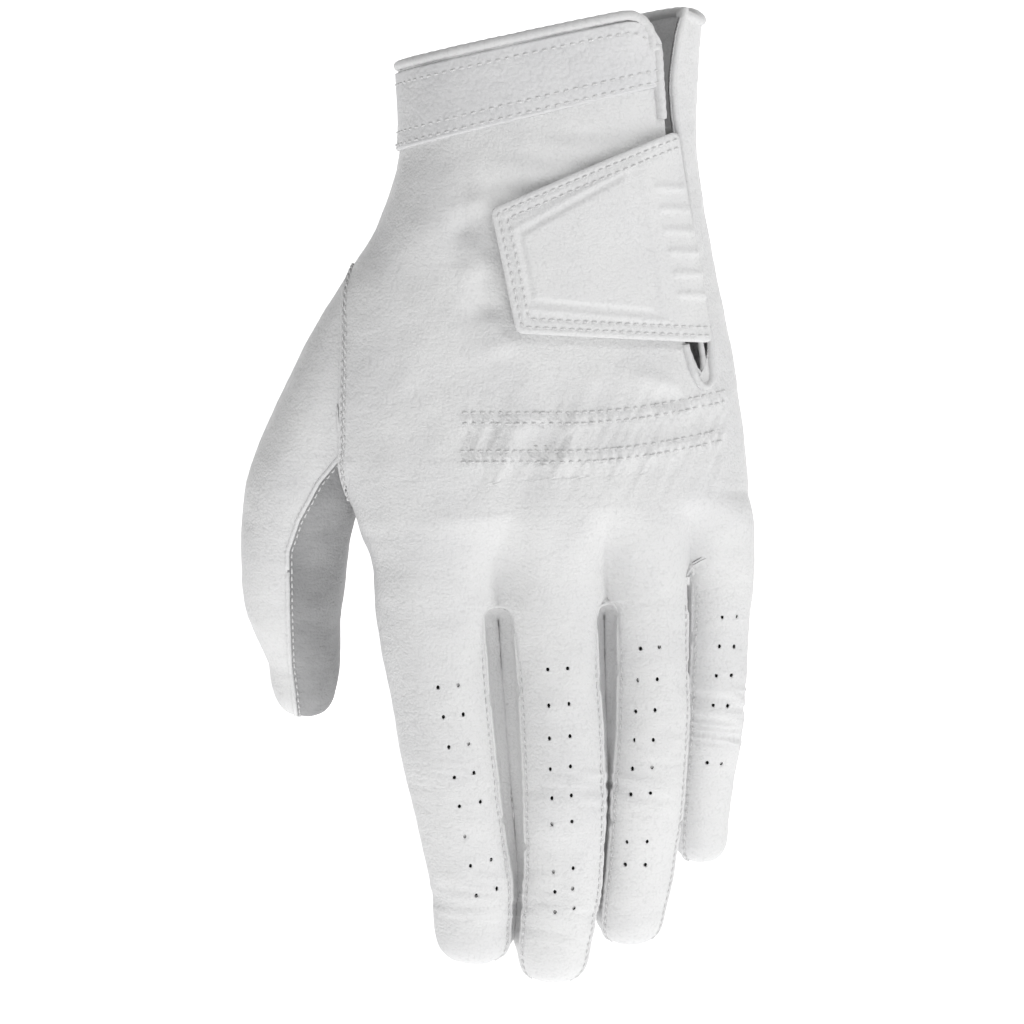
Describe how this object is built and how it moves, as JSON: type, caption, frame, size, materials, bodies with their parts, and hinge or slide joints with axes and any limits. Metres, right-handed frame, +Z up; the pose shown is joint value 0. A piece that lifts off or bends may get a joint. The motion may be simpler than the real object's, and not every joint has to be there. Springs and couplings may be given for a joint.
{
  "type": "golf glove",
  "caption": "Left-hand leather golf glove with a separate thumb and fingers, finger perforations, gathered knuckle elastic and a hook-and-loop closure tab across a slit cuff.",
  "frame": {"origin": "centre of the cuff opening, where the wrist enters", "axes": "+Z up the forearm with the fingers hanging down, -Y the back of the hand, +Y the palm, +X the little-finger side, -X the thumb side"},
  "size_m": [0.1137, 0.0606, 0.2176],
  "materials": {
    "leather": "soft satin, fine pebbled grain",
    "binding": "soft satin",
    "thread": "twisted polyester",
    "elastic": "woven",
    "hook_and_loop": "napped",
    "label": "blank woven"
  },
  "bodies": {
    "hand": {"back_of_hand": "leather", "palm_of_hand": "leather", "palm_fold": "leather", "thumb_base_outer": "leather", "thumb_base_inner": "leather", "cuff_band": "leather", "cuff_binding": "binding", "loop_patch": "hook_and_loop", "upper_elastic": "elastic", "lower_elastic": "elastic", "wrist_elastic": "elastic", "size_label": "label", "thumb_web_patch": "leather", "cuff_threads": "thread", "elastic_threads": "thread", "thumb_threads": "thread"},
    "cuff_flap": {"cuff_flap": "leather", "flap_binding": "binding"},
    "closure_tab": {"tab_leather": "leather", "tab_backing": "hook_and_loop", "tab_raised_panel": "leather", "hook_pad": "hook_and_loop", "tab_threads": "thread"},
    "knuckles": {"back_of_knuckles": "leather", "palm_of_knuckles": "leather", "fourchette_index_middle": "leather", "fourchette_middle_ring": "leather", "fourchette_ring_little": "leather"},
    "index_mid": {"index_middle_back": "leather", "index_middle_palm": "leather", "index_middle_fourchettes": "leather"},
    "index_tip": {"index_tip_back": "leather", "index_tip_palm": "leather", "index_tip_fourchettes": "leather"},
    "middle_mid": {"middle_middle_back": "leather", "middle_middle_palm": "leather", "middle_middle_fourchettes": "leather"},
    "middle_tip": {"middle_tip_back": "leather", "middle_tip_palm": "leather", "middle_tip_fourchettes": "leather"},
    "ring_mid": {"ring_middle_back": "leather", "ring_middle_palm": "leather", "ring_middle_fourchettes": "leather"},
    "ring_tip": {"ring_tip_back": "leather", "ring_tip_palm": "leather", "ring_tip_fourchettes": "leather"},
    "little_mid": {"little_middle_back": "leather", "little_middle_palm": "leather", "little_middle_fourchettes": "leather"},
    "little_tip": {"little_tip_back": "leather", "little_tip_palm": "leather", "little_tip_fourchettes": "leather"},
    "thumb_mid": {"thumb_mid_outer": "leather", "thumb_mid_inner": "leather"},
    "thumb_tip": {"thumb_tip_outer": "leather", "thumb_tip_inner": "leather"}
  },
  "joints": [
    {"name": "cuff_opening", "type": "hinge", "parent": "hand", "child": "cuff_flap", "pos_m": [0.03185, -0.00544, -0.07412], "axis": [0.0126, 0.0123, 0.9998], "range_deg": [0, 25]},
    {"name": "tab_peel", "type": "hinge", "parent": "cuff_flap", "child": "closure_tab", "pos_m": [0.0297, -0.00991, -0.0423], "axis": [-0.163, -0.1605, 0.9735], "range_deg": [0, 130]},
    {"name": "knuckle_flex", "type": "hinge", "parent": "hand", "child": "knuckles", "pos_m": [0.005, 0.004, -0.0995], "axis": [0.9879, 0.1317, 0.0823], "range_deg": [-10, 70], "deforming": ["palm_fold"]},
    {"name": "index_middle_joint", "type": "hinge", "parent": "knuckles", "child": "index_mid", "pos_m": [-0.0219, 0.00646, -0.15932], "axis": [0.9897, -0.0256, 0.141], "range_deg": [-10, 85]},
    {"name": "index_end_joint", "type": "hinge", "parent": "index_mid", "child": "index_tip", "pos_m": [-0.018, 0.01284, -0.18234], "axis": [0.9923, -0.0366, 0.1185], "range_deg": [-10, 55]},
    {"name": "middle_middle_joint", "type": "hinge", "parent": "knuckles", "child": "middle_mid", "pos_m": [0.00233, 0.00794, -0.16182], "axis": [0.9973, 0.0623, 0.0378], "range_deg": [-10, 85]},
    {"name": "middle_end_joint", "type": "hinge", "parent": "middle_mid", "child": "middle_tip", "pos_m": [0.00184, 0.01482, -0.18454], "axis": [0.9963, 0.0797, -0.0312], "range_deg": [-10, 55]},
    {"name": "ring_middle_joint", "type": "hinge", "parent": "knuckles", "child": "ring_mid", "pos_m": [0.02095, 0.01237, -0.1582], "axis": [0.9848, 0.1737, -0.0002], "range_deg": [-10, 85]},
    {"name": "ring_end_joint", "type": "hinge", "parent": "ring_mid", "child": "ring_tip", "pos_m": [0.01917, 0.01975, -0.17901], "axis": [0.9817, 0.187, -0.0358], "range_deg": [-10, 40]},
    {"name": "little_middle_joint", "type": "hinge", "parent": "knuckles", "child": "little_mid", "pos_m": [0.03529, 0.02069, -0.1418], "axis": [0.9183, 0.3908, 0.0631], "range_deg": [-10, 85]},
    {"name": "little_end_joint", "type": "hinge", "parent": "little_mid", "child": "little_tip", "pos_m": [0.03394, 0.02739, -0.16036], "axis": [0.9215, 0.382, 0.0698], "range_deg": [-10, 55]},
    {"name": "thumb_base_joint", "type": "hinge", "parent": "hand", "child": "thumb_mid", "pos_m": [-0.0552, 0.01021, -0.0987], "axis": [0.9755, 0.0525, -0.2136], "range_deg": [-10, 45]},
    {"name": "thumb_end_joint", "type": "hinge", "parent": "thumb_mid", "child": "thumb_tip", "pos_m": [-0.0572, 0.018, -0.1201], "axis": [0.9999, -0.0049, 0.0122], "range_deg": [-10, 45]}
  ]
}
